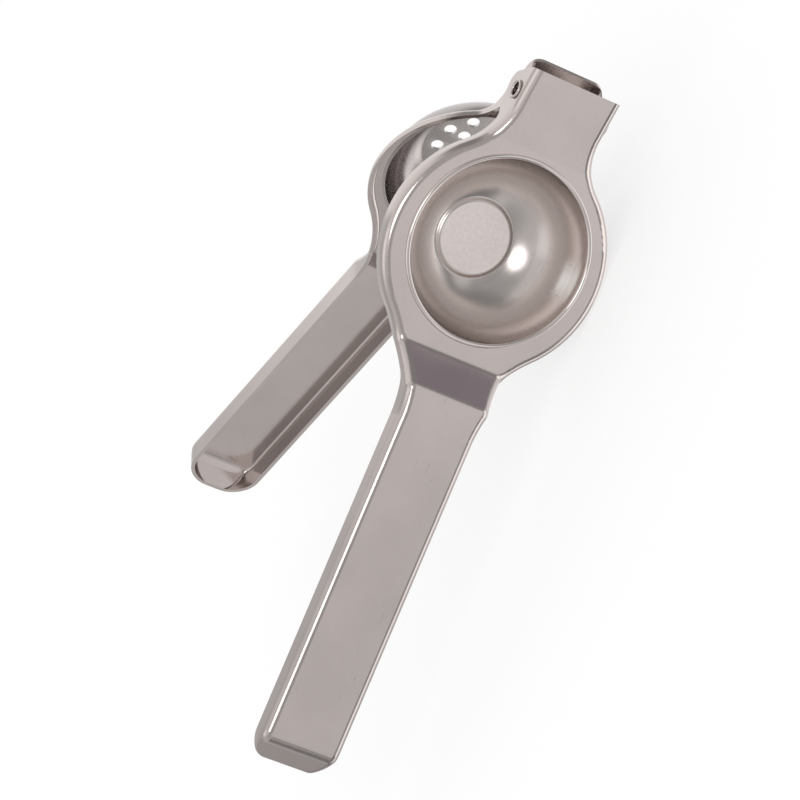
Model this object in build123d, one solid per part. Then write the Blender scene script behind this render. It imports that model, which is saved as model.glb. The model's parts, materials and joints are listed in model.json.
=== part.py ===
"""Hinged lemon squeezer: two stamped stainless arms, each with a pressed bowl, on two hollow rivets.

Each arm is drawn in its own plane: x across it, y along it from the hinge axis (plus towards the
hinge end, minus towards the handle) and z outwards from its web. The strainer arm is then turned over
and opened about the hinge axis, and the whole is laid on its side with the hinge axis upright, its
origin under the middle of its box. Millimetres and degrees.
"""

import os

from build123d import *

# Sheet
SHEET = 1.2  # thickness of both arms
BOWL_SHEET = 0.9  # thickness of both bowls
CREASE = 3.2  # outside radius of the folds across an arm, larger than the bends
EDGE_BLEND = 6.6  # side-view radius where a turned edge changes its depth
TONGUE_CREASE = 8.0  # radius of the fold at the root of the press arm's tongue

# Heads
HEAD_FROM_HINGE = 46.7  # both round heads, centre to hinge axis
PRESS_HEAD_R = 35.4
NEST_CLEARANCE = 2.4  # the strainer head closes inside the press head's edge

# Hinge
OPEN_ANGLE = 37.0  # between the two arms at rest
EAR_HALF_WIDTH = 14.8  # hinge centre plane to the outside of an ear
EAR_CLEARANCE = 0.6  # between an ear and the strainer flange inside it
RIVET_SHANK_R = 2.4
RIVET_BORE_R = 1.95
RIVET_HEAD_R = 3.0
RIVET_HEAD_THICK = 0.7
RIVET_END_PLAY = 0.1  # between the strainer flange and the rivet's inner head
RUNNING_CLEARANCE = 0.05  # strainer flange round the rivet's shank, on the radius

# Press arm, with heights of the web's outside above the hinge axis
PRESS_BEND = 2.6  # outside radius of the bend between the web and its turned edges
PRESS_PLATE_HEIGHT = 2.4
PRESS_EDGE_DEPTH = 5.1  # turned edge round the head, below the plate
PRESS_EAR_BLEND = 20.0  # plan radius between an ear and the head
PRESS_NECK_BLEND = 39.0  # plan radius between the head and the handle
TONGUE_PAST_HINGE = 7.8
TONGUE_LENGTH = 23.2
TONGUE_LIFT = 5.2  # rise of the tongue from its root to its end
EAR_DROP = 6.8  # bottom of the ears below the hinge axis
EAR_SET_BACK = 3.5  # the ears' end slopes back by this much from the bend to the bottom
EAR_LENGTH = 9.5  # the ears' level bottom edge, along the arm
EAR_RUNOUT = 4.0  # the slope from that edge to the head's turned edge, along the arm
EAR_CORNER = 4.5
PRESS_STEP_FROM_HEAD = 31.9  # head's centre to the top of the neck's step
PRESS_STEP_LENGTH = 10.7
PRESS_STEP_RISE = 11.2
PRESS_HANDLE_RISE = 4.9  # further rise of the web along the handle
PRESS_HANDLE_HALF_WIDTH = 12.8
PRESS_HANDLE_DEPTH = 6.6
PRESS_REACH = 209.6  # hinge axis to the end of the handle

# Strainer arm, with heights of the web's outside from the hinge axis, on its own side
STRAINER_BEND = 2.2
STRAINER_PLATE_HEIGHT = 9.5
STRAINER_EDGE_DEPTH = 3.4
STRAINER_EAR_BLEND = 8.0
STRAINER_NECK_BLEND = 45.0
STRAINER_PAST_HINGE = 6.6
LUG_R = 3.6  # round top of each strainer flange, about the hinge axis
LUG_FOOT = 5.0  # end of the flange at the web, past the hinge axis
LUG_SHOULDER = 15.0  # start of the flange's rise to the lug, behind the hinge axis
SHOULDER_BLEND = 11.7
WEB_CORNER = 4.5  # plan radius of the web's corners at the hinge end
STRAINER_STEP_FROM_HEAD = 37.6
STRAINER_STEP_LENGTH = 11.5
STRAINER_STEP_RISE = 6.5
STRAINER_HANDLE_RISE = 4.6
STRAINER_HANDLE_HALF_WIDTH = 11.7
STRAINER_HANDLE_DEPTH = 8.5
STRAINER_REACH = 206.5

# Handle ends
HANDLE_CORNER = 10.0  # plan radius of an end's corners
PRESS_END_RUN = 9.0  # the turned-down end face starts this far before the end
STRAINER_END_RUN = 5.0
HANDLE_END_DROP = 8.5  # and is this much lower at the end
END_CREASE = 5.0  # radius of the fold where it starts

# Press bowl
PRESS_BOWL_OFFSET = 1.5  # bowl's centre, nearer the hinge than the head's centre
PRESS_RIM = 7.9  # flat plate left between the bowl's mouth and the head's edge
PRESS_BOWL_DEPTH = 21.5
PRESS_DISC_R = 12.0
PRESS_LIP_WIDTH = 1.5

# Strainer bowl
STRAINER_BOWL_OFFSET = 1.8
STRAINER_RIM = 4.9
STRAINER_BOWL_DEPTH = 15.1
STRAINER_FLOOR_R = 15.9
STRAINER_LIP_WIDTH = 1.3
LIP_HEIGHT = 0.9
ROUNDED_SHARE = 0.45  # corner radius of a lip or a rivet's head, as a share of its width or thickness
SEAT_CLEARANCE = 0.05  # a bowl in its arm's hole, on the radius

# Drain holes in the strainer's floor
DRAIN_R = 1.9
OUTER_RING_R = 12.6
OUTER_RING_COUNT = 10
OUTER_RING_TURN = 17.0  # from the line across the arm to a first hole
INNER_RING_R = 7.2
INNER_RING_COUNT = 5
INNER_RING_TURN = 6.0

# Values that follow
STRAINER_HEAD_R = PRESS_HEAD_R - SHEET - NEST_CLEARANCE
PRESS_MOUTH_R = PRESS_HEAD_R - PRESS_RIM
STRAINER_MOUTH_R = STRAINER_HEAD_R - STRAINER_RIM
STRAINER_HALF_WIDTH = EAR_HALF_WIDTH - SHEET - EAR_CLEARANCE
PRESS_BOWL_Y = PRESS_BOWL_OFFSET - HEAD_FROM_HINGE
STRAINER_BOWL_Y = STRAINER_BOWL_OFFSET - HEAD_FROM_HINGE
OVERRUN = 3 * TONGUE_PAST_HINGE  # arms are bent longer than they end up, then trimmed
FAR = PRESS_REACH + STRAINER_REACH  # reaches clear of either arm
LEVEL_LIMIT = 0.01  # a face whose normal rises by less than this stands upright


def on_line(start, end, y):
    """The point at y on the straight line through start and end, each (y, height)."""
    share = (y - start[0]) / (end[0] - start[0])
    return (y, start[1] + share * (end[1] - start[1]))


def side_face(points, bends):
    """A closed face in the side view through (y, height) points; bends is pairs of point and radius."""
    face = Plane.YZ * Polygon(*points, align=None)
    for point, radius in bends:
        face = fillet(face.vertices().sort_by_distance((0, *point))[0], radius)
    return face


def through(face):
    """A flat face as a solid right through the arm, both ways."""
    return extrude(face, FAR, both=True)


def arm_plan(head_r, half_width, ear_blend, neck_blend, handle_half_width, reach):
    """An arm's outline from above: ears, round head and handle, blended into each other."""
    head = Circle(head_r)
    ears = Rectangle(2 * half_width, HEAD_FROM_HINGE + OVERRUN, align=(Align.CENTER, Align.MIN))
    handle = Rectangle(2 * handle_half_width, reach - HEAD_FROM_HINGE, align=(Align.CENTER, Align.MAX))
    outline = head + ears + handle
    outline = fillet(outline.vertices().filter_by(lambda v: 0 < v.Y < head_r), ear_blend)
    outline = fillet(outline.vertices().filter_by(lambda v: -head_r < v.Y < 0), neck_blend)
    outline = fillet(outline.vertices().group_by(Axis.Y)[0], HANDLE_CORNER)
    return Pos(0, -HEAD_FROM_HINGE) * outline


def handle_line(step_foot, rise, reach, end_run):
    """The web line's last two points: where the end turns down, and where it would run out."""
    end_fold = on_line(step_foot, (-reach, step_foot[1] + rise), end_run - reach)
    return [end_fold, (-reach, end_fold[1] - HANDLE_END_DROP)]


def bent_body(plan, side, bend):
    """The solid under an arm's web, its long edges bent over."""
    body = through(plan) & through(side)
    web = body.faces().filter_by(lambda f: f.normal_at().Z > LEVEL_LIMIT)
    walls = body.faces().filter_by(lambda f: abs(f.normal_at().Z) < LEVEL_LIMIT)
    rims = web.edges().filter_by(lambda e: e in walls.edges())
    return fillet(rims.filter_by(lambda e: e.center().Y < OVERRUN / 2), bend)


def stamped_arm(widths, web_line, creases, bend):
    """A bent sheet along web_line, with deep edges all round, open below and past the hinge end."""
    plan = arm_plan(*widths)
    below = [(web_line[-1][0], -FAR), (web_line[0][0], -FAR)]
    side = side_face([*web_line, *below], creases)
    outside = bent_body(plan, side, bend)
    inside = bent_body(offset(plan, -SHEET), offset(side, -SHEET), bend - SHEET)
    return outside - inside


def cross_hole(radius):
    """A hole through both sides of an arm on the hinge axis."""
    return Rot(0, 90, 0) * Cylinder(radius, FAR)


def bowl_hole(mouth_r, y):
    """The round hole in an arm's web that a bowl drops into."""
    return Pos(0, y) * Cylinder(mouth_r + BOWL_SHEET + SEAT_CLEARANCE, FAR)


def press_arm():
    root = (TONGUE_PAST_HINGE - TONGUE_LENGTH, PRESS_PLATE_HEIGHT)
    tongue_end = (TONGUE_PAST_HINGE, PRESS_PLATE_HEIGHT + TONGUE_LIFT)
    step_top = (-HEAD_FROM_HINGE - PRESS_STEP_FROM_HEAD, PRESS_PLATE_HEIGHT)
    step_foot = (step_top[0] - PRESS_STEP_LENGTH, PRESS_PLATE_HEIGHT + PRESS_STEP_RISE)
    end_fold, run_out = handle_line(step_foot, PRESS_HANDLE_RISE, PRESS_REACH, PRESS_END_RUN)
    web_line = [on_line(root, tongue_end, OVERRUN), root, step_top, step_foot, end_fold, run_out]
    creases = [(root, TONGUE_CREASE), (step_top, CREASE), (step_foot, CREASE), (end_fold, END_CREASE)]
    widths = (
        PRESS_HEAD_R,
        EAR_HALF_WIDTH,
        PRESS_EAR_BLEND,
        PRESS_NECK_BLEND,
        PRESS_HANDLE_HALF_WIDTH,
        PRESS_REACH,
    )
    sheet = stamped_arm(widths, web_line, creases, PRESS_BEND)

    ear_top = (TONGUE_PAST_HINGE, tongue_end[1] - PRESS_BEND)
    ear_corner = (TONGUE_PAST_HINGE - EAR_SET_BACK, -EAR_DROP)
    ear_back = (ear_corner[0] - EAR_LENGTH, -EAR_DROP)
    ear_root = (ear_back[0] - EAR_RUNOUT, PRESS_PLATE_HEIGHT - PRESS_EDGE_DEPTH)
    edge_top = (step_top[0], ear_root[1])
    edge_foot = (step_foot[0], step_foot[1] - PRESS_HANDLE_DEPTH)
    edge_end = on_line(edge_foot, (end_fold[0], end_fold[1] - PRESS_HANDLE_DEPTH), -FAR)
    edge_line = [ear_top, ear_corner, ear_back, ear_root, edge_top, edge_foot, edge_end]
    edges = side_face(
        [(TONGUE_PAST_HINGE, FAR), *edge_line, (-FAR, FAR)],
        [
            (ear_corner, EAR_CORNER),
            (ear_back, CREASE),
            (ear_root, CREASE),
            (edge_top, EDGE_BLEND),
            (edge_foot, EDGE_BLEND),
        ],
    )
    sheet &= through(edges)
    return sheet - cross_hole(RIVET_SHANK_R) - bowl_hole(PRESS_MOUTH_R, PRESS_BOWL_Y)


def strainer_arm():
    """Drawn with its outside up, as the press arm is, and turned over when the arms are put together."""
    plate = STRAINER_PLATE_HEIGHT
    step_top = (-HEAD_FROM_HINGE - STRAINER_STEP_FROM_HEAD, plate)
    step_foot = (step_top[0] - STRAINER_STEP_LENGTH, plate + STRAINER_STEP_RISE)
    end_fold, run_out = handle_line(step_foot, STRAINER_HANDLE_RISE, STRAINER_REACH, STRAINER_END_RUN)
    web_line = [(OVERRUN, plate), step_top, step_foot, end_fold, run_out]
    creases = [(step_top, CREASE), (step_foot, CREASE), (end_fold, END_CREASE)]
    widths = (
        STRAINER_HEAD_R,
        STRAINER_HALF_WIDTH,
        STRAINER_EAR_BLEND,
        STRAINER_NECK_BLEND,
        STRAINER_HANDLE_HALF_WIDTH,
        STRAINER_REACH,
    )
    sheet = stamped_arm(widths, web_line, creases, STRAINER_BEND)

    shoulder = (-LUG_SHOULDER, plate - STRAINER_EDGE_DEPTH)
    edge_top = (step_top[0], shoulder[1])
    edge_foot = (step_foot[0], step_foot[1] - STRAINER_HANDLE_DEPTH)
    edge_end = on_line(edge_foot, (end_fold[0], end_fold[1] - STRAINER_HANDLE_DEPTH), -FAR)
    flange_end = [
        (STRAINER_PAST_HINGE, plate - SHEET),
        (LUG_FOOT, plate - SHEET),
        (LUG_R, 0),
        (-LUG_R, 0),
    ]
    edges = side_face(
        [(STRAINER_PAST_HINGE, FAR), *flange_end, shoulder, edge_top, edge_foot, edge_end, (-FAR, FAR)],
        [(shoulder, SHOULDER_BLEND), (edge_top, EDGE_BLEND), (edge_foot, CREASE)],
    )
    edges += Plane.YZ * Circle(LUG_R)
    sheet &= through(edges)
    web_end = Rectangle(
        2 * STRAINER_HALF_WIDTH, STRAINER_PAST_HINGE + FAR, align=(Align.CENTER, Align.MAX)
    )
    web_end = fillet(web_end.vertices().group_by(Axis.Y)[-1], WEB_CORNER)
    behind_hinge = Rectangle(FAR, FAR, align=(Align.CENTER, Align.MAX))
    sheet &= through(Pos(0, STRAINER_PAST_HINGE) * web_end + behind_hinge)
    holes = cross_hole(RIVET_SHANK_R + RUNNING_CLEARANCE)
    return sheet - holes - bowl_hole(STRAINER_MOUTH_R, STRAINER_BOWL_Y)


def bowl(mouth_r, depth, floor_r, lip_width):
    """A pressed bowl, mouth up at height 0, with a rounded lip standing on the sheet round it."""
    top = Line((0, 0), (mouth_r, 0))
    wall = TangentArc(top @ 1, (floor_r, -depth), tangent=(0, -1))
    floor = Line(wall @ 1, (0, -depth))
    inside = make_face(top + wall + floor + Line(floor @ 1, top @ 0))
    below = Rectangle(2 * mouth_r, 2 * depth, align=(Align.MIN, Align.MAX))
    shell = (offset(inside, BOWL_SHEET) & below) - inside
    lip = Pos(mouth_r, 0) * Rectangle(lip_width, LIP_HEIGHT, align=(Align.MIN, Align.MIN))
    lip = fillet(lip.vertices().group_by(Axis.Y)[-1], ROUNDED_SHARE * lip_width)
    return revolve(Plane.XZ * (shell + lip), Axis.Z)


def strainer_bowl():
    holes = Pos(0, 0, -STRAINER_BOWL_DEPTH) * Cylinder(DRAIN_R, STRAINER_BOWL_DEPTH)
    shell = bowl(STRAINER_MOUTH_R, STRAINER_BOWL_DEPTH, STRAINER_FLOOR_R, STRAINER_LIP_WIDTH)
    drained = shell - holes
    rings = (
        (OUTER_RING_R, OUTER_RING_COUNT, OUTER_RING_TURN),
        (INNER_RING_R, INNER_RING_COUNT, INNER_RING_TURN),
    )
    for ring_r, count, turn in rings:
        for i in range(count):
            drained -= Rot(0, 0, turn + 360 / count * i) * Pos(ring_r, 0, 0) * holes
    return drained


def rivet():
    """One hollow rivet on the plus x side, its rolled heads outside the ear and inside the flange."""
    inner_x = STRAINER_HALF_WIDTH - SHEET - RIVET_END_PLAY
    outline = (
        (inner_x - RIVET_HEAD_THICK, RIVET_HEAD_R, RIVET_HEAD_THICK),
        (inner_x, RIVET_SHANK_R, EAR_HALF_WIDTH - inner_x),
        (EAR_HALF_WIDTH, RIVET_HEAD_R, RIVET_HEAD_THICK),
    )
    stem = Part()
    for x, radius, length in outline:
        stem += Pos(x) * Rot(0, 90, 0) * Cylinder(
            radius, length, align=(Align.CENTER, Align.CENTER, Align.MIN)
        )
    stem -= cross_hole(RIVET_BORE_R)
    circles = stem.edges().filter_by(GeomType.CIRCLE)
    rims = circles.filter_by(lambda e: e.radius > RIVET_SHANK_R + RUNNING_CLEARANCE)
    return fillet(rims, ROUNDED_SHARE * RIVET_HEAD_THICK)


def main():
    turn_over = Rot(0, 180, 0)
    opened = Rot(OPEN_ANGLE, 0, 0)
    press_plate = Pos(0, PRESS_BOWL_Y, PRESS_PLATE_HEIGHT)
    strainer_plate = Pos(0, STRAINER_BOWL_Y, SHEET - STRAINER_PLATE_HEIGHT)
    press_cup = bowl(PRESS_MOUTH_R, PRESS_BOWL_DEPTH, PRESS_DISC_R, PRESS_LIP_WIDTH)
    pieces = {
        "press_arm": press_arm(),
        "press_bowl": press_plate * press_cup,
        "strainer_arm": opened * turn_over * strainer_arm(),
        "strainer_bowl": opened * strainer_plate * strainer_bowl(),
        "hinge_rivets": Compound([rivet(), Rot(0, 0, 180) * rivet()]),
    }
    on_its_side = Plane((0, 0, 0), x_dir=(0, 0, -1), z_dir=(1, 0, 0)).location
    pieces = {name: on_its_side * piece for name, piece in pieces.items()}
    box = Compound(list(pieces.values())).bounding_box()
    stand = Pos(-box.center().X, -box.center().Y, -box.min.Z)

    os.makedirs("parts", exist_ok=True)
    for name, piece in pieces.items():
        export_step(stand * piece, f"parts/{name}.step")
    print("hinge axis at", stand.position)
    print("size", box.size)


main()
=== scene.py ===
"""Studio scene of the hinged lemon squeezer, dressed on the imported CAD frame. Metres and degrees."""

import json
import math

import bmesh
import bpy
from mathutils import Matrix, Vector


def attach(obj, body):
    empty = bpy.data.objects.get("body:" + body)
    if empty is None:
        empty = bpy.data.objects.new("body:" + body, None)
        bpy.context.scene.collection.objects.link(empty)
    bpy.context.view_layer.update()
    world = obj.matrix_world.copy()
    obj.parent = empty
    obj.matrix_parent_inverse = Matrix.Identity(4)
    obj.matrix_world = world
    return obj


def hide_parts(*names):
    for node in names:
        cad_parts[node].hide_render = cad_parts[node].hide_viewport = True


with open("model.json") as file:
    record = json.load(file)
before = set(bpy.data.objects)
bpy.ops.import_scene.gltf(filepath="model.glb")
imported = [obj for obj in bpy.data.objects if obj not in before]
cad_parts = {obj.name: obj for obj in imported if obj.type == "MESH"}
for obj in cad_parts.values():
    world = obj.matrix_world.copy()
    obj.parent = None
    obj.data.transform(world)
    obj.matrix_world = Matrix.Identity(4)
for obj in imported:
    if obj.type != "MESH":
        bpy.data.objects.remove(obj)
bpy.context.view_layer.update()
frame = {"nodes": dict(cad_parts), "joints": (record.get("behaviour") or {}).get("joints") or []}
HINGE = Vector(frame["joints"][0]["pos_m"])

# Camera, aimed at a point set from the hinge axis
AIM_FROM_HINGE = (-0.055801, -0.101481, -0.014954)
CAMERA_AZIMUTH = 95.1266
CAMERA_ELEVATION = 22.8096
CAMERA_ROLL = -68.0383
CAMERA_DISTANCE = 1.286482
CAMERA_LENS_MM = 189.0
CAMERA_REACH = 50.0
SENSOR_MM = 36.0

# Room that the metal mirrors: long lights and dark gaps that run along the press arm. Each stop is an
# angle about the arm's axis, from the horizon in front of the plate up over the top, and a light level.
# Every SPAN over y runs along the arm's axis, and +y points to the hinge.
ROOM = (
    (-180, 1.0),
    (-95, 0.95),
    (-80, 1.2),
    (-71, 1.9),
    (-57, 1.9),
    (-49, 0.9),
    (-43, 0.4),
    (-36, 0.4),
    (-30, 1.0),
    (-15, 1.0),
    (-11, 0.6),
    (46, 0.6),
    (56, 0.95),
    (90, 1.0),
    (135, 1.0),
    (180, 1.0),
)
ROOM_PEAK = 2.0  # the ramp holds levels as shares of this
LOW_BAND_LEVEL = 0.3  # a dark band under the horizon, towards the handles
LOW_BAND_TOP = (-30, -35)  # angles about the arm's axis over which it fades in and out
LOW_BAND_FOOT = (-66, -60)
LOW_BAND_SPAN = (-0.2, -0.3)
BACK_LEVELS = (0.74, 1.15)  # behind the arms, towards the handles and towards the hinge
BACK_SPAN = (-0.14, -0.02)
HIGH_GAIN = 0.4  # how much lighter the room is, high up, towards the handles
HIGH_GAIN_SPAN = (-0.12, -0.3)
HIGH_SPAN = (0.1, 0.4)  # how far a direction points up where high up begins and where it is full

# Both ends of the room
END_STARTS, END_FULL = 0.6, 0.86  # how far along the arm's axis a direction points
HINGE_END_LEVEL = 0.37
CLOTH_TINT = (0.98, 0.9, 1.03)  # a purple cloth there, which the slope below the head mirrors
CLOTH_DIRECTION = (0.03, 0.917, -0.397)
CLOTH_EDGE = (16.0, 8.0)  # angles from its middle over which it fades in
HANDLE_END_LEVEL = 0.82
BACK_END_LEVEL = 0.62  # the same end behind the arms
BACK_END_SPAN = (-0.06, 0.04)  # over x, from behind the arms to in front of them
LOW_END_LEVEL = 0.25  # low down past the handle end
LOW_END_SPAN = (-0.5, -0.42)
END_BAND_LEVEL = 0.22  # two dark stripes that the fold at the handle's end mirrors
END_BAND_HEIGHT = -0.395
END_BAND_HALF_HEIGHT = 0.04
END_BAND_SPAN = (-0.46, -0.92)
END_BAND = (  # how dark they are along that span
    (0.0, 0.0),
    (0.1, 0.75),
    (0.3, 0.75),
    (0.42, 0.1),
    (0.52, 0.1),
    (0.62, 1.0),
    (0.9, 1.0),
    (1.0, 0.0),
)

# What metal mirrors by way of other metal
BOUNCED_DEPTH = 2.5  # the ray depth that a ray exceeds once it has met metal twice
BOUNCE_LEVELS = (0.6, 1.3)  # past the handle end, and elsewhere
BOUNCE_SPAN = (-0.85, -0.7)

# Floor and the light on it
FLOOR_SIZE = 6.0
FLOOR_COLOUR = (0.97, 0.97, 0.97)
FLOOR_GLOW = 0.66  # share of the paper's brightness that no shadow takes away
WHITE = (1, 1, 1, 1)
AMBIENT = 1.04
SOFT_BOX_LEVEL = 4.0
SOFT_BOX_SIZE = (0.5, 0.34)
SOFT_BOX_DISTANCE = 1.1
SOFT_BOX_AZIMUTH, SOFT_BOX_ELEVATION = 90.0, 30.0  # turned as the camera's are
SOFT_BOX_EDGE = (13.5, 11.5)  # angles from its middle over which it begins, as the metal sees it
LAMP_LEVEL = 0.6  # what the lamp adds to the soft light on everything but metal

# Pressed bowl of the press arm: its centre from the hinge axis, then radii and heights from its mouth
BOWL_FROM_HINGE = (0.0024, -0.0452, 0.0)
MOUTH_R = 0.0275
BOWL_DEPTH = 0.0215
WALL_CURVE_R = 0.02266
BOWL_SHEET = 0.0009
DISC_R = 0.0109  # the matt bottom, which stands up a little from the wall's foot
DISC_FALL_RUN = 0.0015
DISC_RISE = 0.0006
LIP_WIDTH = 0.0015
LIP_HEIGHT = 0.0009
LIP_ROUND = 0.00074

# Strainer bowl, in the same way; its axis is turned with the opened arm
STRAINER_FROM_HINGE = (-0.033648, -0.030861, 0.0)
OPEN_ANGLE = 37.0
STRAINER_MOUTH_R = 0.02745
STRAINER_DEPTH = 0.0142
STRAINER_FLOOR_R = 0.0161
STRAINER_SEAT_R = 0.0278  # just inside the arm's hole
STRAINER_LIP_R = 0.0283
STRAINER_LIP_HEIGHT = 0.00025
DRAIN_R = 0.0019
DRAIN_RINGS = ((0.0, 1, 0.0), (0.0072, 5, 6.0), (0.0119, 10, 17.0))  # radius, count and turn
CUTTER_LENGTH = 6 * BOWL_SHEET

# Hollow rivets, measured from the middle between them along the hinge axis
EAR_OUTSIDE = 0.0148
FLANGE_INSIDE = 0.0117
RIVET_BORE_R = 0.00195
RIVET_SHANK_R = 0.0024
RIVET_HEAD_R = 0.003
RIVET_HEAD_RISE = 0.0007
RIVET_FLARE = 0.0006

# Fineness of the meshes
LATHE_SEGMENTS = 192
DRAIN_SEGMENTS = 32
WALL_STEPS, OUTSIDE_STEPS = 72, 60
STRAINER_WALL_STEPS, STRAINER_OUTSIDE_STEPS = 60, 48
DISC_FALL_STEPS = 16
LIP_STEPS = 6
RIVET_STEPS = 8
SHARP_ANGLE = 40.0

# Steel of the arms and the rivets
ARM_COLOUR = (0.5, 0.448, 0.43)
PRESS_ARM_PAINTED_LIGHT = (0.9, 1.07)  # painted light: darker by the handles, lighter by the hinge
# painted light along the strainer arm as well, by the handles and by the hinge
STRAINER_ARM_PAINTED_LIGHT = (0.98, 1.12)
ARM_PAINTED_LIGHT_SPAN = (-0.06, 0.08)
RIVET_COLOUR = (0.52, 0.47, 0.455)
SATIN_ROUGHNESS = 0.16
ARM_GRAIN, RIVET_GRAIN = 0.5, 0.3
SATIN_WAVES = 0.35

# Steel of the press bowl
WALL_COLOUR = (0.48, 0.441, 0.424)
WALL_ROUGHNESS = 0.2
WALL_PAINTED_LIGHT = 1.12  # painted light: how much lighter the wall is above this depth than at its foot
WALL_PAINTED_LIGHT_DEPTH = 0.008
RIM_PAINTED_LIGHT = 1.5  # and painted light that makes it lighter again just under its rim, between these depths
RIM_PAINTED_LIGHT_DEPTHS = (0.01, 0.001)
DISC_COLOUR = (0.79, 0.72, 0.7)
DISC_ROUGHNESS = 0.4
DISC_EDGE = 0.0003
LIP_COLOUR = (0.6, 0.55, 0.53)
LIP_ROUGHNESS = 0.09
# A painted highlight near the rim: a near-white, mostly matt streaky patch that stands in for a light's
# reflection
PAINTED_HIGHLIGHT_COLOUR = (1.0, 0.985, 0.96)
PAINTED_HIGHLIGHT_ROUGHNESS = 0.42
PAINTED_HIGHLIGHT_METALLIC = 0.1  # low, so that the painted highlight scatters light as a matt face does
PAINTED_HIGHLIGHT_ANGLE = -91.0  # about the bowl's axis
PAINTED_HIGHLIGHT_SPREAD = 19.0  # the angle to either side over which it fades out
PAINTED_HIGHLIGHT_RADII = (0.0247, 0.0262)  # over which it fades in
PAINTED_HIGHLIGHT_DEPTHS = (0.001, 0.0035)  # under the mouth, over which it fades in
PAINTED_HIGHLIGHT_STREAKS = (0.6, 1.4)
BOWL_GRAIN, BOWL_WAVES = 0.08, 0.03

# Steel of the strainer bowl
STRAINER_COLOUR = (0.6, 0.555, 0.535)
# painted shade: the wall's colour darker than the floor's
STRAINER_SHADED_WALL_COLOUR = (0.4, 0.364, 0.358)
STRAINER_FLOOR_EDGE = (0.0008, 0.0002)  # heights over the floor at which its finish ends and is full
STRAINER_WALL_ROUGHNESS, STRAINER_FLOOR_ROUGHNESS = 0.2, 0.24
STRAINER_GRAIN, STRAINER_WAVES = 0.04, 0.05

# Textures that all the steel shares
NOISE_SPAN = (0.3, 0.7)  # nearly all that a noise gives lies between these
MOTTLE_SCALE = 45.0
MOTTLE_TONES = (0.95, 1.04)
BOWL_MOTTLE_TONES = (0.96, 1.03)
TURNED_SCALE = 1500.0
TURNED_TONES = (0.97, 1.03)
SPECKLE_SCALE = 900.0
SPECKLE_TONES = (0.96, 1.04)
GRAIN_SCALE = 2600.0
GRAIN_ROUGHNESS = (-0.03, 0.05)
GRAIN_HEIGHT = 0.00001
WAVE_SCALE = 70.0
WAVE_HEIGHT = 0.0001
SCRATCH_TURNS = ((20, 0, 12), (65, 30, -35))
SCRATCH_SCALE = (2400.0, 170.0, 2400.0)
SCRATCH_SPAN = (0.72, 0.78)
SCRATCH_PATCH_SCALE = 60.0
SCRATCH_PATCH_SPAN = (0.5, 0.62)
SCRATCH_TONE = 0.8
SCRATCH_ROUGHNESS = 0.14


def camera_matrix(aim, azimuth, elevation, roll, distance):
    """A camera looking at aim. Azimuth 0 looks along +Y and 90 along -X. Roll turns it about its axis."""
    a, e = math.radians(azimuth), math.radians(elevation)
    back = Vector((math.sin(a) * math.cos(e), -math.cos(a) * math.cos(e), math.sin(e)))
    level_right = Vector((math.cos(a), math.sin(a), 0))
    level_up = back.cross(level_right)
    turn = math.radians(roll)
    right = level_right * math.cos(turn) + level_up * math.sin(turn)
    up = back.cross(right)
    matrix = Matrix((right, up, back)).transposed().to_4x4()
    matrix.translation = Vector(aim) + back * distance
    return matrix


def link(name, data):
    made = bpy.data.objects.new(name, data)
    bpy.context.scene.collection.objects.link(made)
    return made


def add_camera():
    data = bpy.data.cameras.new("camera")
    data.sensor_width = SENSOR_MM
    data.lens = CAMERA_LENS_MM
    data.clip_end = CAMERA_REACH
    camera = link("camera", data)
    camera.matrix_world = camera_matrix(
        HINGE + Vector(AIM_FROM_HINGE), CAMERA_AZIMUTH, CAMERA_ELEVATION, CAMERA_ROLL, CAMERA_DISTANCE
    )
    bpy.context.scene.camera = camera


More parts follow.
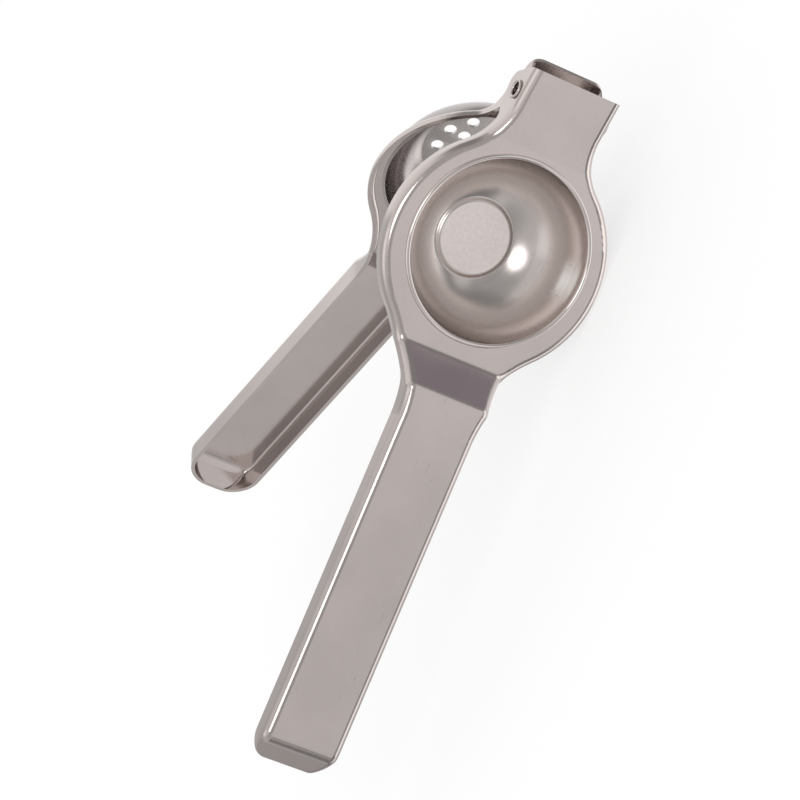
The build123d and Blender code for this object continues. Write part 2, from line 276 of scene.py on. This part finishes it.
class Graph:
    """Short hand for building a node tree."""

    def __init__(self, tree):
        self.tree = tree
        tree.nodes.clear()

    def node(self, kind, inputs=None, **settings):
        made = self.tree.nodes.new("ShaderNode" + kind)
        for name, value in settings.items():
            setattr(made, name, value)
        for name, value in (inputs or {}).items():
            socket = made.inputs[name]
            if isinstance(value, bpy.types.NodeSocket):
                self.tree.links.new(value, socket)
            else:
                socket.default_value = value
        return made

    def math(self, operation, *values, clamp=False):
        made = self.node("Math", dict(enumerate(values)), operation=operation, use_clamp=clamp)
        return made.outputs[0]

    def vector(self, operation, first, second):
        """The result of a vector operation: a number from a dot product, and a vector otherwise."""
        made = self.node("VectorMath", {0: first, 1: second}, operation=operation)
        return made.outputs["Value" if operation == "DOT_PRODUCT" else "Vector"]

    def axes(self, vector):
        made = self.node("SeparateXYZ", {0: vector})
        return [made.outputs[name] for name in "XYZ"]

    def spread(self, value, low, high, to_low=0.0, to_high=1.0, smooth=False):
        kind = "SMOOTHSTEP" if smooth else "LINEAR"
        limits = {"Value": value, "From Min": low, "From Max": high, "To Min": to_low, "To Max": to_high}
        return self.node("MapRange", limits, interpolation_type=kind).outputs[0]

    def mix(self, share, first, second):
        inputs = {"Factor": share, "A": first, "B": second}
        return self.node("Mix", inputs, data_type="FLOAT").outputs[0]

    def blend(self, share, first, second, how="MIX"):
        """Mixes two colours, each a tuple or a socket, at the node's inputs 6 and 7."""
        colours = [v if isinstance(v, bpy.types.NodeSocket) else (*v[:3], 1) for v in (first, second)]
        inputs = {"Factor": share, 6: colours[0], 7: colours[1]}
        return self.node("Mix", inputs, data_type="RGBA", blend_type=how).outputs[2]

    def tone(self, colour, level):
        """A colour times a grey level that a socket gives."""
        return self.blend(1.0, colour, level, "MULTIPLY")

    def noise(self, place, scale, detail):
        return self.node("TexNoise", {"Vector": place, "Scale": scale, "Detail": detail}).outputs[0]

    def ramp(self, value, stops):
        made = self.node("ValToRGB", {"Fac": value})
        elements = made.color_ramp.elements
        for spot, level in stops[1:-1]:
            elements.new(spot).color = (level, level, level, 1)
        for element, (spot, level) in zip((elements[0], elements[-1]), (stops[0], stops[-1])):
            element.position = spot
            element.color = (level, level, level, 1)
        return made.outputs[0]

    def near(self, direction, middle, edge):
        """1 close to a middle direction, fading out between the two angles of edge, the wider one first."""
        towards = self.vector("DOT_PRODUCT", direction, middle)
        return self.spread(towards, *(math.cos(math.radians(angle)) for angle in edge), smooth=True)


def turn_shares(*angles):
    """Angles about the arm's axis as shares of the full turn from -180 to 180 degrees."""
    return [(angle + 180) / 360 for angle in angles]


def side_level(graph, x, y, z):
    """How bright the room is about the arm's axis, between its two ends."""
    about_arm = graph.spread(graph.math("ARCTAN2", z, x), -math.pi, math.pi)
    stops = [(*turn_shares(angle), level / ROOM_PEAK) for angle, level in ROOM]
    level = graph.math("MULTIPLY", graph.ramp(about_arm, stops), ROOM_PEAK)
    under_top = graph.spread(about_arm, *turn_shares(*LOW_BAND_TOP))
    over_foot = graph.spread(about_arm, *turn_shares(*LOW_BAND_FOOT))
    low_band = graph.math("MULTIPLY", under_top, over_foot)
    low_band = graph.math("MULTIPLY", low_band, graph.spread(y, *LOW_BAND_SPAN, smooth=True))
    level = graph.mix(low_band, level, LOW_BAND_LEVEL)
    behind = graph.math("MULTIPLY", level, graph.spread(y, *BACK_SPAN, *BACK_LEVELS, smooth=True))
    high = graph.spread(z, *HIGH_SPAN, smooth=True)
    gain = graph.math("MULTIPLY", graph.spread(y, *HIGH_GAIN_SPAN, 0.0, HIGH_GAIN, smooth=True), high)
    in_front = graph.math("MULTIPLY", level, graph.math("ADD", gain, 1.0))
    return graph.mix(graph.math("LESS_THAN", x, 0.0), in_front, behind)


def with_ends(graph, level, x, y, z):
    """That level, with the hinge end, the handle end and the stripes in front of the handle end."""
    level = graph.mix(graph.spread(y, END_STARTS, END_FULL, smooth=True), level, HINGE_END_LEVEL)
    high_end = graph.spread(x, *BACK_END_SPAN, BACK_END_LEVEL, HANDLE_END_LEVEL, smooth=True)
    handle_end = graph.mix(graph.spread(z, *LOW_END_SPAN, smooth=True), LOW_END_LEVEL, high_end)
    level = graph.mix(graph.spread(y, -END_STARTS, -END_FULL, smooth=True), level, handle_end)
    stripes = graph.ramp(graph.spread(y, *END_BAND_SPAN), END_BAND)
    stripes = graph.math("MULTIPLY", stripes, graph.math("GREATER_THAN", x, 0.0))
    at_height = graph.math("COMPARE", z, END_BAND_HEIGHT, END_BAND_HALF_HEIGHT)
    return graph.mix(graph.math("MULTIPLY", stripes, at_height), level, END_BAND_LEVEL)


def soft_box_direction():
    azimuth, elevation = math.radians(SOFT_BOX_AZIMUTH), math.radians(SOFT_BOX_ELEVATION)
    flat = math.cos(elevation)
    return Vector((math.sin(azimuth) * flat, -math.cos(azimuth) * flat, math.sin(elevation)))


def add_world():
    """White to the camera, a room of long lights to the metal, and plain soft light to the rest."""
    world = bpy.data.worlds.new("studio")
    world.use_nodes = True
    bpy.context.scene.world = world
    graph = Graph(world.node_tree)
    direction = graph.node("TexCoord").outputs["Generated"]
    path = graph.node("LightPath").outputs
    x, y, z = graph.axes(direction)
    level = with_ends(graph, side_level(graph, x, y, z), x, y, z)
    level = graph.mix(graph.near(direction, soft_box_direction(), SOFT_BOX_EDGE), level, SOFT_BOX_LEVEL)
    bounced = graph.spread(y, *BOUNCE_SPAN, *BOUNCE_LEVELS, smooth=True)
    level = graph.mix(graph.math("GREATER_THAN", path["Ray Depth"], BOUNCED_DEPTH), level, bounced)
    tint = graph.blend(graph.near(direction, CLOTH_DIRECTION, CLOTH_EDGE), WHITE, CLOTH_TINT)
    room = graph.node("Background", {"Color": tint, "Strength": level})
    soft = graph.node("Background", {"Color": WHITE, "Strength": AMBIENT})
    white = graph.node("Background", {"Color": WHITE, "Strength": 1.0})
    lit = graph.node("MixShader", {0: path["Is Glossy Ray"], 1: soft.outputs[0], 2: room.outputs[0]})
    seen = graph.math("MAXIMUM", path["Is Camera Ray"], path["Is Transmission Ray"])
    final = graph.node("MixShader", {0: seen, 1: lit.outputs[0], 2: white.outputs[0]})
    graph.node("OutputWorld", {"Surface": final.outputs[0]})


def add_floor():
    """White paper that keeps a soft shadow. The metal mirrors the room instead."""
    data = bpy.data.meshes.new("floor")
    h = FLOOR_SIZE / 2
    data.from_pydata([(-h, -h, 0), (h, -h, 0), (h, h, 0), (-h, h, 0)], [], [(0, 1, 2, 3)])
    floor = link("floor", data)
    floor.visible_glossy = False
    material, graph = new_graph("floor")
    paper = graph.node("BsdfDiffuse", {"Color": (*FLOOR_COLOUR, 1)})
    glow = graph.node("Emission", {"Color": WHITE, "Strength": 1.0})
    share = graph.math("MULTIPLY", graph.node("LightPath").outputs["Is Camera Ray"], FLOOR_GLOW)
    mixed = graph.node("MixShader", {0: share, 1: paper.outputs[0], 2: glow.outputs[0]})
    graph.node("OutputMaterial", {"Surface": mixed.outputs[0]})
    data.materials.append(material)


def add_soft_box():
    """The soft box above the camera, as it lights what isn't metal. The metal sees it in the room."""
    width, height = SOFT_BOX_SIZE
    data = bpy.data.lights.new("soft_box", "AREA")
    data.shape = "ELLIPSE"
    data.size, data.size_y = width, height
    area = width * height * math.pi / 4
    data.energy = LAMP_LEVEL * math.pi * area
    lamp = link("soft_box", data)
    lamp.matrix_world = camera_matrix(
        HINGE + Vector(AIM_FROM_HINGE), SOFT_BOX_AZIMUTH, SOFT_BOX_ELEVATION, 0, SOFT_BOX_DISTANCE
    )
    lamp.visible_camera = False
    lamp.visible_glossy = False


def arc(centre_x, centre_y, radius, start, end, steps):
    """Points on an arc, from the angle start to the angle end, both included."""
    turns = (math.radians(start + (end - start) * i / steps) for i in range(steps + 1))
    return [(centre_x + radius * math.cos(t), centre_y + radius * math.sin(t)) for t in turns]


def lathe(mesh, profile, place):
    """Turns a closed profile of (radius, height) points about the z axis, and then puts it in its place."""
    rings = []
    for radius, height in profile:
        turns = [2 * math.pi * i / LATHE_SEGMENTS for i in range(LATHE_SEGMENTS if radius else 1)]
        spots = [(radius * math.cos(t), radius * math.sin(t), height) for t in turns]
        rings.append([mesh.verts.new(place @ Vector(spot)) for spot in spots])
    for low, high in zip(rings, rings[1:] + rings[:1]):
        for i in range(LATHE_SEGMENTS):
            pair = (i, i + 1)
            corners = [low[j % len(low)] for j in pair] + [high[j % len(high)] for j in reversed(pair)]
            corners = list(dict.fromkeys(corners))
            if len(corners) > 2:
                mesh.faces.new(corners)


def shade(data):
    """Smooth apart from the sharp corners."""
    data.shade_smooth()
    data.set_sharp_from_angle(angle=math.radians(SHARP_ANGLE))


def finish_piece(mesh, name, material, body, node):
    """Makes the object from a bmesh, on its body and in place of a CAD node."""
    bmesh.ops.recalc_face_normals(mesh, faces=mesh.faces)
    data = bpy.data.meshes.new(name)
    mesh.to_mesh(data)
    mesh.free()
    shade(data)
    data.materials.append(material)
    piece = link(name, data)
    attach(piece, body)
    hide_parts(node)
    return piece


def press_bowl_profile():
    centre_r = MOUTH_R - WALL_CURVE_R
    foot_r = DISC_R + DISC_FALL_RUN
    foot = -math.degrees(math.acos((foot_r - centre_r) / WALL_CURVE_R))
    foot_height = WALL_CURVE_R * math.sin(math.radians(foot))
    inside = [(0.0, foot_height + DISC_RISE)]
    for i in range(DISC_FALL_STEPS + 1):
        share = i / DISC_FALL_STEPS
        fall = share * share * (3 - 2 * share)
        inside.append((DISC_R + DISC_FALL_RUN * share, foot_height + DISC_RISE * (1 - fall)))
    inside += arc(centre_r, 0, WALL_CURVE_R, foot, 0, WALL_STEPS)[1:]
    lip_middle = LIP_HEIGHT - LIP_ROUND
    inner_round = arc(MOUTH_R + LIP_ROUND, lip_middle, LIP_ROUND, 180, 90, LIP_STEPS)
    outer_r = MOUTH_R + LIP_WIDTH
    outer_round = arc(outer_r - LIP_ROUND, lip_middle, LIP_ROUND, 90, 0, LIP_STEPS)
    lip = inner_round + outer_round + [(outer_r, 0)]
    outer_foot = -math.degrees(math.asin(BOWL_DEPTH / WALL_CURVE_R))
    outside = arc(centre_r, 0, WALL_CURVE_R + BOWL_SHEET, 0, outer_foot, OUTSIDE_STEPS)
    return inside + lip + outside + [(0.0, -BOWL_DEPTH - BOWL_SHEET)]


def add_press_bowl(material):
    mesh = bmesh.new()
    along_x = Matrix.Translation(HINGE + Vector(BOWL_FROM_HINGE)) @ Matrix.Rotation(math.pi / 2, 4, "Y")
    lathe(mesh, press_bowl_profile(), along_x)
    finish_piece(mesh, "pressed_bowl", material, "press", "press_bowl")


def wall_curve(mouth_r, depth, floor_r):
    """The arc from the mouth down and round to the floor: its centre's radius, its own and its last angle."""
    run = mouth_r - floor_r
    curve_r = (run * run + depth * depth) / (2 * run)
    return mouth_r - curve_r, curve_r, -math.degrees(math.asin(depth / curve_r))


def strainer_profile():
    centre_r, curve_r, foot = wall_curve(STRAINER_MOUTH_R, STRAINER_DEPTH, STRAINER_FLOOR_R)
    inside = [(0.0, -STRAINER_DEPTH)] + arc(centre_r, 0, curve_r, foot, 0, STRAINER_WALL_STEPS)
    inner_r = STRAINER_MOUTH_R + STRAINER_LIP_HEIGHT
    round_r = STRAINER_LIP_HEIGHT / 2
    lip = arc(inner_r, 0, STRAINER_LIP_HEIGHT, 180, 90, LIP_STEPS)[1:]
    lip += arc(STRAINER_LIP_R - round_r, round_r, round_r, 90, -90, LIP_STEPS)
    outer_mouth_r = STRAINER_SEAT_R - BOWL_SHEET
    centre_r, curve_r, foot = wall_curve(outer_mouth_r, STRAINER_DEPTH, STRAINER_FLOOR_R)
    outside = arc(centre_r, 0, curve_r + BOWL_SHEET, 0, foot, STRAINER_OUTSIDE_STEPS)
    return inside + lip + outside + [(0.0, -STRAINER_DEPTH - BOWL_SHEET)]


def drain_cutter(place):
    """All the drain holes as one mesh of rods through the floor."""
    mesh = bmesh.new()
    for ring_r, count, turn in DRAIN_RINGS:
        for i in range(count):
            around = math.radians(turn + 360 / count * i)
            middle = Vector((ring_r * math.cos(around), ring_r * math.sin(around), -STRAINER_DEPTH))
            bmesh.ops.create_cone(
                mesh,
                cap_ends=True,
                segments=DRAIN_SEGMENTS,
                radius1=DRAIN_R,
                radius2=DRAIN_R,
                depth=CUTTER_LENGTH,
                matrix=place @ Matrix.Translation(middle),
            )
    data = bpy.data.meshes.new("drain_cutter")
    mesh.to_mesh(data)
    mesh.free()
    return link("drain_cutter", data)


def strainer_axes():
    """The strainer bowl's own axes in the frame: across, along the arm, and out of its mouth."""
    turn = math.radians(OPEN_ANGLE)
    along = Vector((math.sin(turn), math.cos(turn), 0))
    axis = Vector((math.cos(turn), -math.sin(turn), 0))
    return Vector((0, 0, -1)), along, axis


def add_strainer_bowl(material):
    place = Matrix(strainer_axes()).transposed().to_4x4()
    place.translation = HINGE + Vector(STRAINER_FROM_HINGE)
    mesh = bmesh.new()
    lathe(mesh, strainer_profile(), place)
    piece = finish_piece(mesh, "drained_bowl", material, "strainer", "strainer_bowl")
    cutter = drain_cutter(place)
    modifier = piece.modifiers.new("drains", "BOOLEAN")
    modifier.operation = "DIFFERENCE"
    modifier.solver = "EXACT"
    modifier.object = cutter
    drained = piece.evaluated_get(bpy.context.evaluated_depsgraph_get())
    data = bpy.data.meshes.new_from_object(drained)
    piece.modifiers.clear()
    piece.data = data
    shade(data)
    bpy.data.objects.remove(cutter)


def rolled_end(side, foot):
    """One end of a rivet, flared out of its bore and rolled over the sheet at the height foot.

    side is 1 where the end points along the axis and -1 where it points against it.
    """
    top = foot + side * RIVET_HEAD_RISE
    flare_r = RIVET_BORE_R + RIVET_FLARE
    throat = arc(flare_r, top - side * RIVET_FLARE, RIVET_FLARE, 180, 180 - side * 90, RIVET_STEPS)
    round_r = RIVET_HEAD_RISE / 2
    edge_middle = foot + side * round_r
    edge = arc(RIVET_HEAD_R - round_r, edge_middle, round_r, side * 90, -side * 90, RIVET_STEPS)
    return throat + edge


def rivet_profile():
    shank = [(RIVET_SHANK_R, EAR_OUTSIDE), (RIVET_SHANK_R, FLANGE_INSIDE)]
    return rolled_end(1, EAR_OUTSIDE) + shank + rolled_end(-1, FLANGE_INSIDE)[::-1]


def add_rivets(material):
    mesh = bmesh.new()
    for turn in (0, math.pi):
        lathe(mesh, rivet_profile(), Matrix.Translation(HINGE) @ Matrix.Rotation(turn, 4, "X"))
    finish_piece(mesh, "rolled_rivets", material, "press", "hinge_rivets")


def new_graph(name):
    material = bpy.data.materials.new(name)
    material.use_nodes = True
    return material, Graph(material.node_tree)


def scratch_lines(graph, place):
    """Sparse fine scratches in two directions, 1 on a scratch and 0 elsewhere."""
    lines = []
    for turn in SCRATCH_TURNS:
        angles = tuple(math.radians(angle) for angle in turn)
        stretched = graph.node("Mapping", {"Vector": place, "Rotation": angles, "Scale": SCRATCH_SCALE})
        noise = graph.noise(stretched.outputs[0], 1.0, detail=1.0)
        lines.append(graph.spread(noise, *SCRATCH_SPAN, smooth=True))
    patches = graph.noise(place, SCRATCH_PATCH_SCALE, detail=2.0)
    return graph.math("MULTIPLY", graph.math("MAXIMUM", *lines), graph.spread(patches, *SCRATCH_PATCH_SPAN))


def steel_surface(graph, place, base, rough, grain_depth, wave_depth, metallic=1.0):
    """Metal with tumbled grain, faint waviness and fine scratches under the given colour and roughness."""
    grain = graph.noise(place, GRAIN_SCALE, detail=3.0)
    waves = graph.noise(place, WAVE_SCALE, detail=1.0)
    scratches = scratch_lines(graph, place)
    rough = graph.math("ADD", rough, graph.spread(grain, *NOISE_SPAN, *GRAIN_ROUGHNESS))
    rough = graph.math("ADD", rough, graph.math("MULTIPLY", scratches, SCRATCH_ROUGHNESS))
    base = graph.tone(base, graph.spread(scratches, 0.0, 1.0, 1.0, SCRATCH_TONE))
    wavy = graph.node("Bump", {"Height": waves, "Strength": wave_depth, "Distance": WAVE_HEIGHT})
    bump = {"Height": grain, "Strength": grain_depth, "Distance": GRAIN_HEIGHT, "Normal": wavy.outputs[0]}
    normal = graph.node("Bump", bump).outputs[0]
    metal = {"Base Color": base, "Metallic": metallic, "Roughness": rough, "Normal": normal}
    graph.node("OutputMaterial", {"Surface": graph.node("BsdfPrincipled", metal).outputs[0]})


def satin_steel(name, colour, grain_depth, painted_light_levels=(1.0, 1.0)):
    """Mottled satin steel, with painted light along it where given: its colour scaled by the handles and by
    the hinge.
    """
    material, graph = new_graph(name)
    place = graph.node("TexCoord").outputs["Object"]
    mottle = graph.noise(place, MOTTLE_SCALE, detail=5.0)
    base = graph.tone(colour, graph.spread(mottle, *NOISE_SPAN, *MOTTLE_TONES))
    along = graph.axes(place)[1]
    # Painted light: the colour darker towards the handles and lighter towards the hinge
    base = graph.tone(base, graph.spread(along, *ARM_PAINTED_LIGHT_SPAN, *painted_light_levels, smooth=True))
    steel_surface(graph, place, base, SATIN_ROUGHNESS, grain_depth, SATIN_WAVES)
    return material


def painted_highlight_share(graph, radius, around, depth, rings):
    """Where the painted highlight lies: one streaky place just under the rim."""
    turn = graph.math("ABSOLUTE", graph.math("SUBTRACT", around, math.radians(PAINTED_HIGHLIGHT_ANGLE)))
    painted_highlight = graph.spread(turn, math.radians(PAINTED_HIGHLIGHT_SPREAD), 0.0, smooth=True)
    painted_highlight = graph.math("MULTIPLY", painted_highlight, graph.spread(radius, *PAINTED_HIGHLIGHT_RADII, smooth=True))
    painted_highlight = graph.math("MULTIPLY", painted_highlight, graph.spread(depth, *PAINTED_HIGHLIGHT_DEPTHS, smooth=True))
    return graph.math("MULTIPLY", painted_highlight, graph.spread(rings, *NOISE_SPAN, *PAINTED_HIGHLIGHT_STREAKS), clamp=True)


def pressed_steel(name):
    """The press bowl's finish: turned wall with painted light towards the rim, matt disc, bright lip, and a
    painted highlight near the rim.
    """
    material, graph = new_graph(name)
    place = graph.node("TexCoord").outputs["Object"]
    from_mouth, y, z = graph.axes(graph.vector("SUBTRACT", place, HINGE + Vector(BOWL_FROM_HINGE)))
    depth = graph.math("MULTIPLY", from_mouth, -1.0)
    radius = graph.math("SQRT", graph.math("ADD", graph.math("POWER", y, 2.0), graph.math("POWER", z, 2.0)))
    around = graph.math("ARCTAN2", z, y)
    disc = graph.spread(radius, DISC_R, DISC_R - DISC_EDGE, smooth=True)
    inside = graph.math("LESS_THAN", radius, MOUTH_R)

    turned_place = graph.node("CombineXYZ", {0: graph.math("MULTIPLY", radius, TURNED_SCALE), 1: around})
    rings = graph.noise(turned_place.outputs[0], 1.0, detail=2.0)
    mottle = graph.noise(place, MOTTLE_SCALE, detail=5.0)
    speckle = graph.noise(place, SPECKLE_SCALE, detail=2.0)

    wall = graph.tone(WALL_COLOUR, graph.spread(rings, *NOISE_SPAN, *TURNED_TONES))
    # Painted light: the wall lighter above its foot, and lighter again just under the rim
    painted_light_up = graph.spread(depth, BOWL_DEPTH, WALL_PAINTED_LIGHT_DEPTH, 1.0, WALL_PAINTED_LIGHT)
    rim_painted_light = graph.spread(depth, *RIM_PAINTED_LIGHT_DEPTHS, 1.0, RIM_PAINTED_LIGHT)
    wall = graph.tone(wall, graph.math("MULTIPLY", painted_light_up, rim_painted_light))
    bottom = graph.tone(DISC_COLOUR, graph.spread(speckle, *NOISE_SPAN, *SPECKLE_TONES))

    # Painted highlight: a near-white streaky patch just under the rim
    painted_highlight = painted_highlight_share(graph, radius, around, depth, rings)
    base = graph.blend(disc, graph.blend(painted_highlight, wall, PAINTED_HIGHLIGHT_COLOUR), bottom)
    base = graph.tone(base, graph.spread(mottle, *NOISE_SPAN, *BOWL_MOTTLE_TONES))
    base = graph.blend(inside, LIP_COLOUR, base)
    rough = graph.mix(disc, graph.mix(painted_highlight, WALL_ROUGHNESS, PAINTED_HIGHLIGHT_ROUGHNESS), DISC_ROUGHNESS)
    rough = graph.mix(inside, LIP_ROUGHNESS, rough)
    metallic = graph.mix(painted_highlight, 1.0, PAINTED_HIGHLIGHT_METALLIC)
    steel_surface(graph, place, base, rough, BOWL_GRAIN, BOWL_WAVES, metallic)
    return material


def strainer_steel(name):
    """The strainer bowl's finish: drawn wall in a darker colour as painted shade, and a lighter, flat floor.
    """
    material, graph = new_graph(name)
    place = graph.node("TexCoord").outputs["Object"]
    from_mouth = graph.vector("SUBTRACT", place, HINGE + Vector(STRAINER_FROM_HINGE))
    height = graph.vector("DOT_PRODUCT", from_mouth, strainer_axes()[2])
    floor = graph.spread(height, *(above - STRAINER_DEPTH for above in STRAINER_FLOOR_EDGE))
    mottle = graph.noise(place, MOTTLE_SCALE, detail=5.0)
    # Painted shade: the wall darker than the floor
    colour = graph.blend(floor, STRAINER_SHADED_WALL_COLOUR, STRAINER_COLOUR)
    base = graph.tone(colour, graph.spread(mottle, *NOISE_SPAN, *MOTTLE_TONES))
    rough = graph.mix(floor, STRAINER_WALL_ROUGHNESS, STRAINER_FLOOR_ROUGHNESS)
    steel_surface(graph, place, base, rough, STRAINER_GRAIN, STRAINER_WAVES)
    return material


def dress_arm(node, painted_light_levels):
    """Gives a CAD arm its steel. Its mesh stays as it is."""
    finish = satin_steel(node + "_finish", ARM_COLOUR, ARM_GRAIN, painted_light_levels)
    for slot in frame["nodes"][node].material_slots:
        slot.material = finish


add_camera()
add_world()
add_floor()
add_soft_box()
dress_arm("press_arm", PRESS_ARM_PAINTED_LIGHT)
dress_arm("strainer_arm", STRAINER_ARM_PAINTED_LIGHT)
add_press_bowl(pressed_steel("pressed_finish"))
add_strainer_bowl(strainer_steel("strainer_finish"))
add_rivets(satin_steel("rivet_finish", RIVET_COLOUR, RIVET_GRAIN))

bpy.context.scene.view_settings.view_transform = "Standard"
